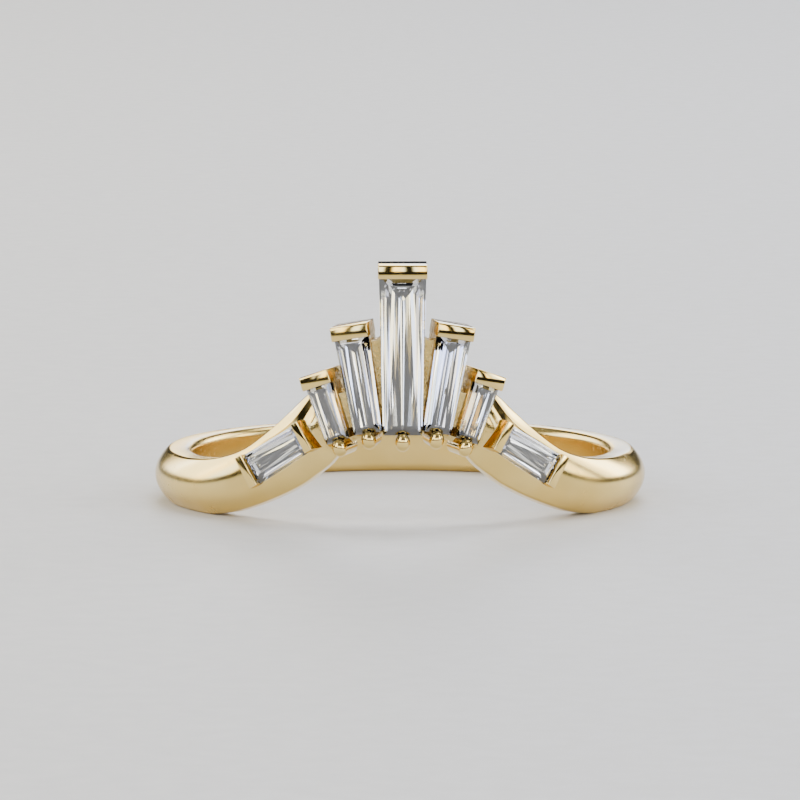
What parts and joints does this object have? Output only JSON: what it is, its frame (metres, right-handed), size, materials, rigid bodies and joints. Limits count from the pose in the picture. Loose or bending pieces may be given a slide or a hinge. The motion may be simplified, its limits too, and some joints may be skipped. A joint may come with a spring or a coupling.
{
  "type": "baguette fan ring",
  "caption": "Curved finger ring with a fan of tapered step-cut stones at the front and one more set in each shoulder.",
  "frame": {"origin": "centre line of the finger hole, in the plane that the ring lies on", "axes": "+Z along the finger hole, up as the ring lies on its side; the fan of stones is at the front, towards -Y, and points up; +X is to the right as the fan is seen from the front"},
  "size_m": [0.02, 0.0203, 0.0105],
  "materials": {
    "gold": "polished yellow gold",
    "stone": "clear, polished step cut"
  },
  "bodies": {
    "root": {"ring_mount": "gold", "stone_center": "stone", "stone_inner_left": "stone", "stone_inner_right": "stone", "stone_outer_left": "stone", "stone_outer_right": "stone", "stone_shoulder_left": "stone", "stone_shoulder_right": "stone"}
  },
  "joints": []
}
